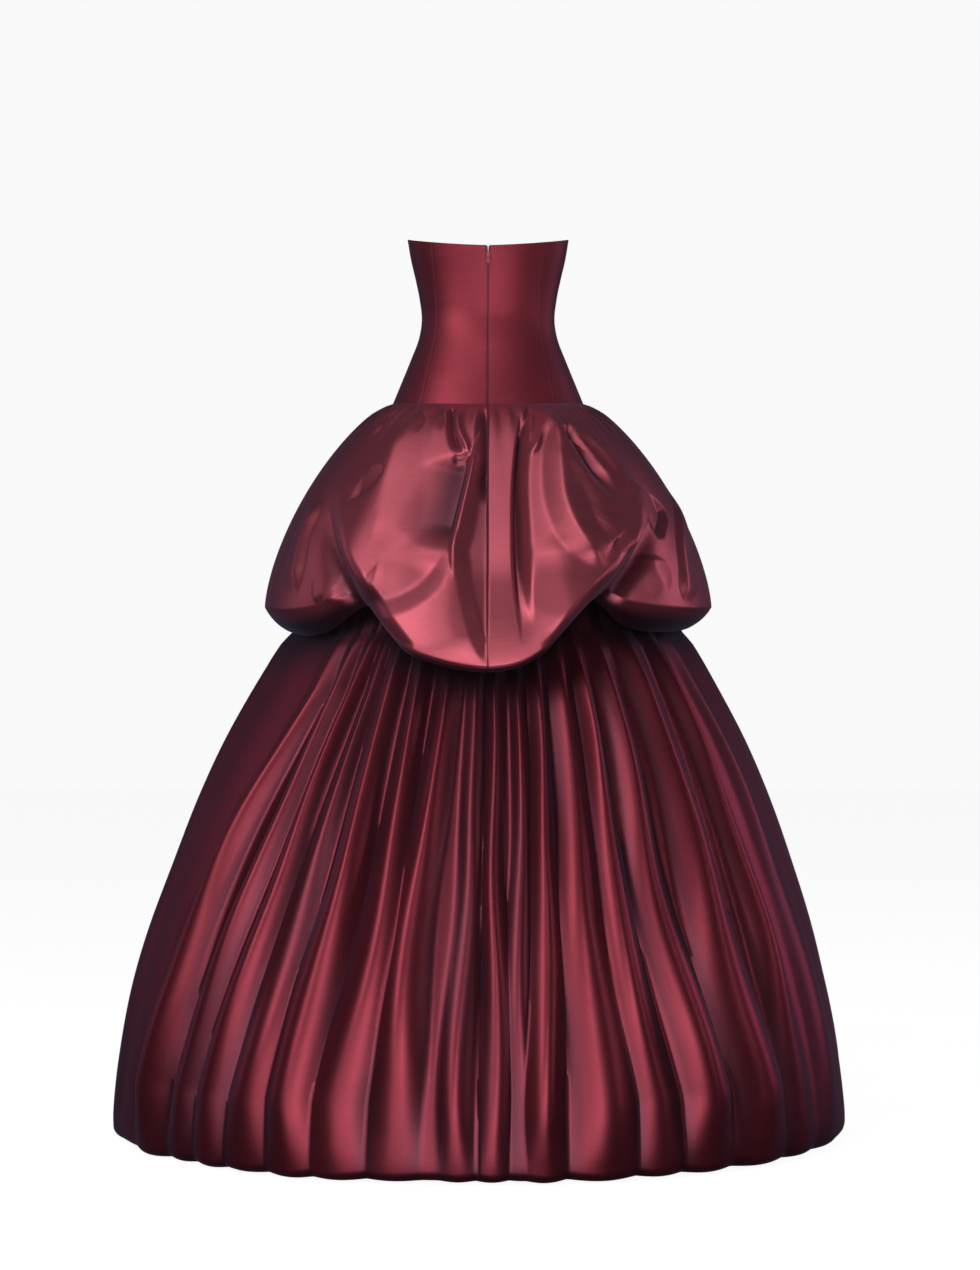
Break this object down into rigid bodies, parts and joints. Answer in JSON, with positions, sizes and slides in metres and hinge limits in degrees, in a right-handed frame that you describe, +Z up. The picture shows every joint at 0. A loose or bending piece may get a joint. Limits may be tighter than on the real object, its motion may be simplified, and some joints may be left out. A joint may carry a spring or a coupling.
{
  "type": "ball gown",
  "caption": "Strapless drop-waist ball gown in shot taffeta, with a fitted princess-seamed bodice, a bubble overskirt gathered at the hip, and a full gathered skirt with a turned-under hem.",
  "frame": {"origin": "centre of the waist, at its narrowest height, where the wearer holds the gown up", "axes": "+Z up, -Y towards the back with the zip (the side in the picture), +Y towards the front, +X to the wearer's right, which is the picture's right"},
  "size_m": [1.1797, 1.1298, 1.4383],
  "materials": {
    "bodice_taffeta": "smooth burgundy shot taffeta, satin sheen",
    "overskirt_taffeta": "burgundy shot taffeta, bright satin sheen with violet-grey shade",
    "skirt_taffeta": "burgundy shot taffeta, gathered, satin sheen with violet-grey shade",
    "zip_tape": "dark woven zip tape",
    "zip_enamel": "burgundy enamel, glossy"
  },
  "bodies": {
    "gown": {"bodice_centre_front": "bodice_taffeta", "bodice_side_front_left": "bodice_taffeta", "bodice_side_front_right": "bodice_taffeta", "bodice_side_back_left": "bodice_taffeta", "bodice_side_back_right": "bodice_taffeta", "bodice_centre_back_left": "bodice_taffeta", "bodice_centre_back_right": "bodice_taffeta", "overskirt_back_left": "overskirt_taffeta", "overskirt_back_right": "overskirt_taffeta", "overskirt_front": "overskirt_taffeta", "skirt_back_left": "skirt_taffeta", "skirt_back_right": "skirt_taffeta", "skirt_front_left": "skirt_taffeta", "skirt_front_right": "skirt_taffeta", "zip_tape_left": "zip_tape", "zip_tape_right": "zip_tape", "zip_slider": "zip_enamel"},
    "pull": {"zip_pull": "zip_enamel"}
  },
  "joints": [
    {"name": "zip_pull_swing", "type": "hinge", "parent": "gown", "child": "pull", "pos_m": [0, -0.0939, 0.099], "axis": [-1, 0, 0], "range_deg": [0, 160]}
  ]
}
